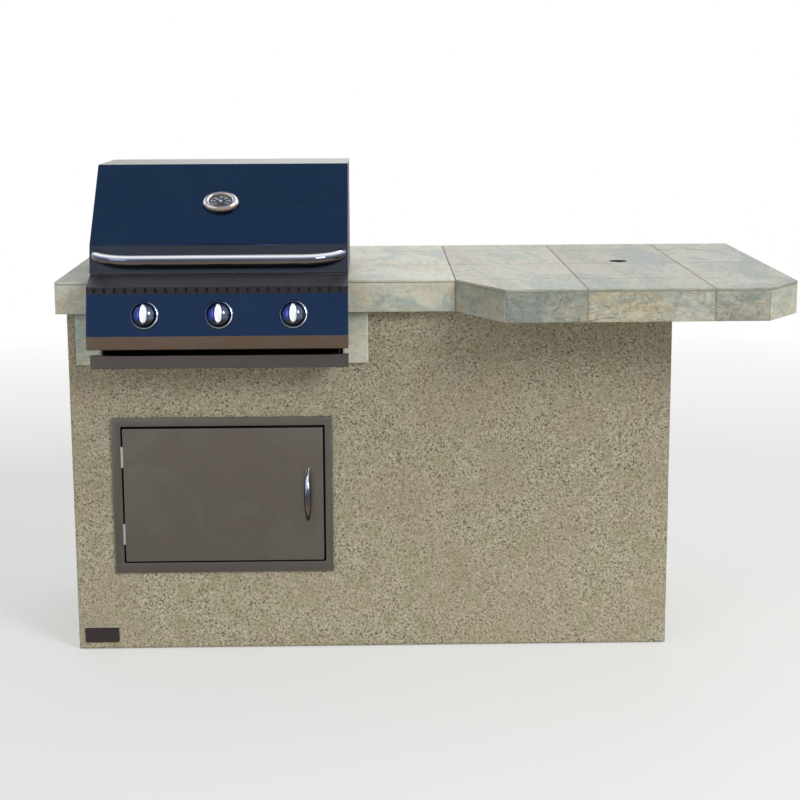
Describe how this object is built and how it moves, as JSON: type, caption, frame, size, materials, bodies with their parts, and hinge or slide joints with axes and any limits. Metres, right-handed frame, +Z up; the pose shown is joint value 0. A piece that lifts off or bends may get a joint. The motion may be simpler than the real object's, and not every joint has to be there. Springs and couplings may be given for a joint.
{
  "type": "outdoor kitchen island",
  "caption": "Stucco cabinet with a tiled counter, an overhanging bar with an umbrella hole, a drop-in gas grill with a hinged hood and an access door.",
  "frame": {"origin": "on the floor under the centre of the whole island's bounding box, bar overhang included", "axes": "+X along the island from the grill end to the bar end, +Y from the grill's front to the back, +Z up"},
  "size_m": [1.829, 0.953, 1.243],
  "materials": {
    "stucco": "coarse sprayed cement stucco, matt",
    "galvanised_steel": "galvanised, dull spangle",
    "cement_board": "raw cement board",
    "counter_tile": "veined stone-look porcelain, satin",
    "tinted_steel": "polished steel with a dark blue cast",
    "brushed_steel": "fine brushed grain",
    "chrome": "bright polished",
    "dark_enamel": "heat-proof enamel",
    "cast_iron": "seasoned, rough",
    "brass": "plain machined",
    "dark_plate": "dark brown paint, satin",
    "needle_red": "red paint"
  },
  "bodies": {
    "island": {"front_wall": "stucco", "back_wall": "stucco", "left_end_wall": "stucco", "right_end_wall": "stucco", "bar_soffit": "stucco", "front_frame": "galvanised_steel", "back_frame": "galvanised_steel", "left_end_frame": "galvanised_steel", "right_end_frame": "galvanised_steel", "counter_frame": "galvanised_steel", "counter_deck": "cement_board", "left_counter_tiles": "counter_tile", "middle_counter_tiles": "counter_tile", "bar_tiles_left": "counter_tile", "bar_tiles_middle": "counter_tile", "bar_tiles_right": "counter_tile", "front_edge_tile_left": "counter_tile", "front_edge_tile_right": "counter_tile", "bar_corner_tile_left": "counter_tile", "bar_front_edge_tiles": "counter_tile", "bar_corner_tile_right": "counter_tile", "right_side_edge_tiles": "counter_tile", "back_edge_tiles": "counter_tile", "left_side_edge_tiles": "counter_tile", "skirt_tile_left": "counter_tile", "skirt_tile_right": "counter_tile", "control_panel": "tinted_steel", "back_vent": "brushed_steel", "door_frame": "brushed_steel", "hood_hinge_rod": "brushed_steel", "burner_1": "brushed_steel", "burner_2": "brushed_steel", "burner_3": "brushed_steel", "heat_shield_1": "brushed_steel", "heat_shield_2": "brushed_steel", "heat_shield_3": "brushed_steel", "lower_door_hinge_pin": "chrome", "upper_door_hinge_pin": "chrome", "warming_rack": "chrome", "knob_bezel_1": "chrome", "knob_bezel_2": "chrome", "knob_bezel_3": "chrome", "firebox": "dark_enamel", "cooking_grate_1": "cast_iron", "cooking_grate_2": "cast_iron", "gas_manifold": "brass", "nameplate": "dark_plate"},
    "hood": {"hood": "tinted_steel", "hood_handle": "chrome", "thermometer_case": "chrome"},
    "needle": {"thermometer_needle": "needle_red"},
    "door": {"access_door": "brushed_steel", "door_handle": "chrome"},
    "tray": {"drip_tray": "brushed_steel"},
    "left_stem": {"valve_stem_1": "brass"},
    "middle_stem": {"valve_stem_2": "brass"},
    "right_stem": {"valve_stem_3": "brass"},
    "left_knob": {"knob_1": "chrome"},
    "middle_knob": {"knob_2": "chrome"},
    "right_knob": {"knob_3": "chrome"}
  },
  "joints": [
    {"name": "hood_hinge", "type": "hinge", "parent": "island", "child": "hood", "pos_m": [-0.505, 0.1965, 0.996], "axis": [-1, 0, 0], "range_deg": [0, 85]},
    {"name": "thermometer_turn", "type": "hinge", "parent": "hood", "child": "needle", "pos_m": [-0.505, -0.1995, 1.1495], "axis": [0, -0.7128, 0.7014], "range_deg": [-120, 0]},
    {"name": "door_hinge", "type": "hinge", "parent": "island", "child": "door", "pos_m": [-0.766, -0.2555, 0.41234], "axis": [0, 0, -1], "range_deg": [0, 105]},
    {"name": "tray_slide", "type": "slide", "parent": "island", "child": "tray", "axis": [0, -1, 0], "range_m": [0, 0.35]},
    {"name": "left_knob_push", "type": "slide", "parent": "island", "child": "left_stem", "axis": [0, 0.9678, -0.2516], "range_m": [0, 0.004], "stiffness_N_per_m": 1500, "springref_m": -0.002},
    {"name": "left_knob_turn", "type": "hinge", "parent": "left_stem", "child": "left_knob", "pos_m": [-0.6815, -0.3788, 0.895], "axis": [0, -0.9678, 0.2516], "range_deg": [0, 180]},
    {"name": "middle_knob_push", "type": "slide", "parent": "island", "child": "middle_stem", "axis": [0, 0.9678, -0.2516], "range_m": [0, 0.004], "stiffness_N_per_m": 1500, "springref_m": -0.002},
    {"name": "middle_knob_turn", "type": "hinge", "parent": "middle_stem", "child": "middle_knob", "pos_m": [-0.501, -0.3788, 0.895], "axis": [0, -0.9678, 0.2516], "range_deg": [0, 180]},
    {"name": "right_knob_push", "type": "slide", "parent": "island", "child": "right_stem", "axis": [0, 0.9678, -0.2516], "range_m": [0, 0.004], "stiffness_N_per_m": 1500, "springref_m": -0.002},
    {"name": "right_knob_turn", "type": "hinge", "parent": "right_stem", "child": "right_knob", "pos_m": [-0.3205, -0.3788, 0.895], "axis": [0, -0.9678, 0.2516], "range_deg": [0, 180]}
  ]
}
